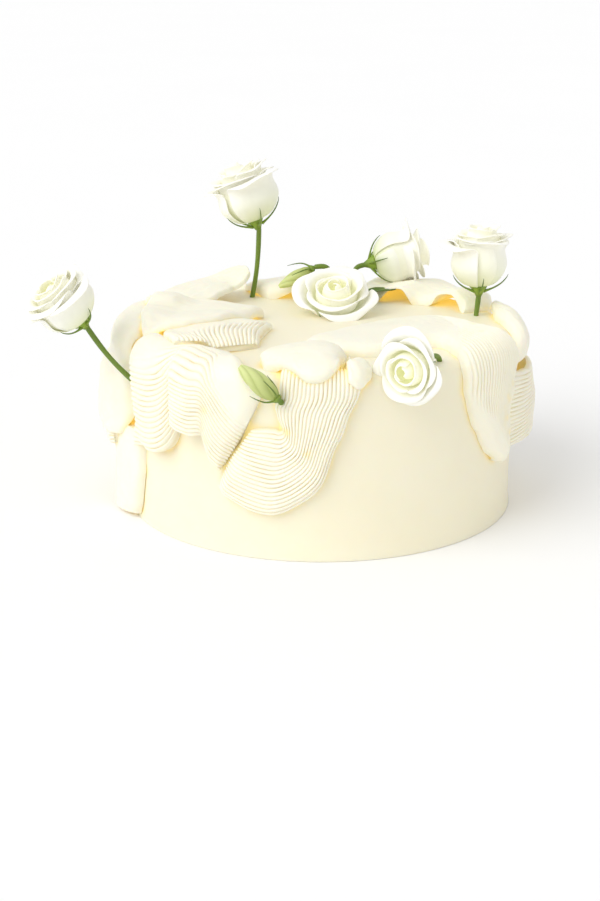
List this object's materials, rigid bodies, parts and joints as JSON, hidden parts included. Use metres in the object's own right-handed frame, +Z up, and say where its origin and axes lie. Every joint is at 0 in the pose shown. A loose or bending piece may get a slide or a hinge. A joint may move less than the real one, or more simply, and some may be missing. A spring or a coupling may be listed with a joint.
{
  "type": "celebration cake",
  "caption": "Round iced celebration cake with combed buttercream ribbons draped over its rim and white flowers set into the top and side.",
  "frame": {"origin": "centre of the cake's flat foot, on the surface it stands on", "axes": "+Z up, -Y towards the side seen in front, +X to its right"},
  "size_m": [0.2891, 0.2505, 0.1866],
  "materials": {
    "cake_icing": "smooth pale cream buttercream, soft satin",
    "ribbon_icing": "combed ivory buttercream, soft satin",
    "petals": "matte white petals, yellow-green at the foot",
    "greenery": "matte fresh green",
    "buds": "matte pale green"
  },
  "bodies": {
    "root": {"bud_front": "buds", "bud_front_stem": "greenery", "bud_top": "buds", "bud_top_stem": "greenery", "cake_body": "cake_icing", "flower_back_bloom": "petals", "flower_back_stem": "greenery", "flower_front_bloom": "petals", "flower_front_stem": "greenery", "flower_left_bloom": "petals", "flower_left_stem": "greenery", "flower_right_bloom": "petals", "flower_right_stem": "greenery", "flower_tall_bloom": "petals", "flower_tall_stem": "greenery", "flower_top_bloom": "petals", "flower_top_stem": "greenery", "leaf_top": "greenery", "ribbon_back_fold": "ribbon_icing", "ribbon_back_right": "ribbon_icing", "ribbon_back_wave": "ribbon_icing", "ribbon_front_curl": "ribbon_icing", "ribbon_front_fan": "ribbon_icing", "ribbon_front_fold": "ribbon_icing", "ribbon_left_corner": "ribbon_icing", "ribbon_left_flap": "ribbon_icing", "ribbon_left_ruffle": "ribbon_icing", "ribbon_left_wave": "ribbon_icing", "ribbon_right_drape": "ribbon_icing", "ribbon_right_rim": "ribbon_icing", "ribbon_right_ruffle": "ribbon_icing", "ribbon_top_left_back": "ribbon_icing", "ribbon_top_left_front": "ribbon_icing", "ribbon_top_left_middle": "ribbon_icing"}
  },
  "joints": []
}
